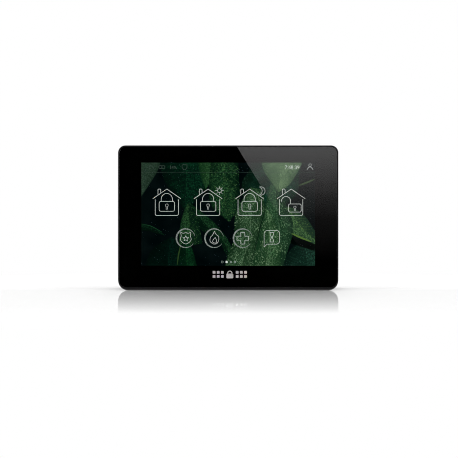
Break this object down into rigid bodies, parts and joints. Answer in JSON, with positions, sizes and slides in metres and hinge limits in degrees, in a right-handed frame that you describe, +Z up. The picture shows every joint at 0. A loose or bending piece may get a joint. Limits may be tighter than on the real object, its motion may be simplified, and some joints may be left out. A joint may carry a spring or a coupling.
{
  "type": "alarm keypad panel",
  "caption": "Wall-mounted alarm keypad with a rounded rectangular front, one sheet of dark glass over a wide colour touch screen, and a hinged front unit on a shallow wall base.",
  "frame": {"origin": "centre of the four wall screws, on the wall's surface", "axes": "+X to the right as seen from the room, +Y into the wall, +Z up; the screen faces -Y"},
  "size_m": [0.196, 0.022, 0.129],
  "materials": {
    "base_plastic": "fine-textured moulded plastic, matt",
    "frame_plastic": "satin moulded plastic, near black",
    "cover_glass": "polished clear glass",
    "black_ink": "opaque black print seen through the glass",
    "black_tape": "matt adhesive tape",
    "clear_film": "optically clear layer",
    "flex_film": "amber film with copper tracks",
    "foam": "closed-cell foam",
    "pressed_steel": "bright pressed sheet",
    "lcd_glass": "dark polarised cell",
    "white_film": "translucent white film",
    "light_guide": "clear acrylic with etched dots",
    "led_strip": "yellow phosphor windows on a white strip",
    "tray_metal": "satin pressed tray",
    "chassis_aluminium": "brushed sheet",
    "screw_steel": "zinc-plated steel",
    "circuit_board": "green solder mask over copper tracks",
    "chip_plastic": "black moulding compound",
    "chip_ceramic": "fired ceramic with tinned ends",
    "ferrite": "dark grey sintered ferrite",
    "capacitor_aluminium": "bright can",
    "connector_plastic": "natural nylon",
    "header_plastic": "black nylon",
    "gold_pins": "gold flash over brass",
    "terminal_plastic": "green nylon",
    "clamp_brass": "plated brass",
    "card_plastic": "black moulded card",
    "spring_steel": "bright spring wire",
    "plunger_plastic": "red acetal",
    "magnet_steel": "dark plated magnet",
    "basket_steel": "black painted pressing",
    "cone_paper": "coated black paper",
    "wire_jacket": "red and black insulation"
  },
  "bodies": {
    "wall_base": {"wall_base": "base_plastic"},
    "front_unit": {"front_frame": "frame_plastic", "cover_glass": "cover_glass", "bezel_print": "black_ink", "glass_tape": "black_tape", "optical_adhesive": "clear_film", "touch_sensor": "clear_film", "touch_flex": "flex_film", "display_gasket": "foam", "lcd_bezel": "pressed_steel", "lcd_panel": "lcd_glass", "diffuser_films": "white_film", "light_guide": "light_guide", "reflector_sheet": "white_film", "backlight_strip": "led_strip", "lcd_tray": "tray_metal", "lcd_flex": "flex_film", "display_chassis": "chassis_aluminium", "chassis_screws": "screw_steel", "main_board": "circuit_board", "board_screws": "screw_steel", "processor": "chip_plastic", "memory_chips": "chip_plastic", "small_chips": "chip_plastic", "chip_resistors": "chip_ceramic", "crystal": "pressed_steel", "power_inductors": "ferrite", "electrolytic_capacitors": "capacitor_aluminium", "lcd_connector": "connector_plastic", "touch_connector": "connector_plastic", "service_header": "header_plastic", "service_pins": "gold_pins", "terminal_block": "terminal_plastic", "terminal_screws": "screw_steel", "terminal_clamps": "clamp_brass", "sd_socket": "pressed_steel", "tamper_switch": "header_plastic", "tamper_spring": "spring_steel", "speaker_magnet": "magnet_steel", "speaker_basket": "basket_steel", "speaker_cone": "cone_paper", "speaker_gasket": "foam", "speaker_wires": "wire_jacket", "speaker_connector": "connector_plastic"},
    "tamper_plunger": {"tamper_plunger": "plunger_plastic"},
    "sd_card": {"sd_card": "card_plastic"}
  },
  "joints": [
    {"name": "front_swing", "type": "hinge", "parent": "wall_base", "child": "front_unit", "pos_m": [0, -0.01, 0.0595], "axis": [-1, 0, 0], "range_deg": [0, 30]},
    {"name": "tamper_travel", "type": "slide", "parent": "front_unit", "child": "tamper_plunger", "axis": [0, 1, 0], "range_m": [0, 0.0018], "deforming": ["tamper_spring"]},
    {"name": "sd_card_slide", "type": "slide", "parent": "front_unit", "child": "sd_card", "axis": [-1, 0, 0], "range_m": [0, 0.015]}
  ],
  "couplings": [
    {"joint": "tamper_travel", "follows": "front_swing", "m_per_rad": 0.003437}
  ]
}
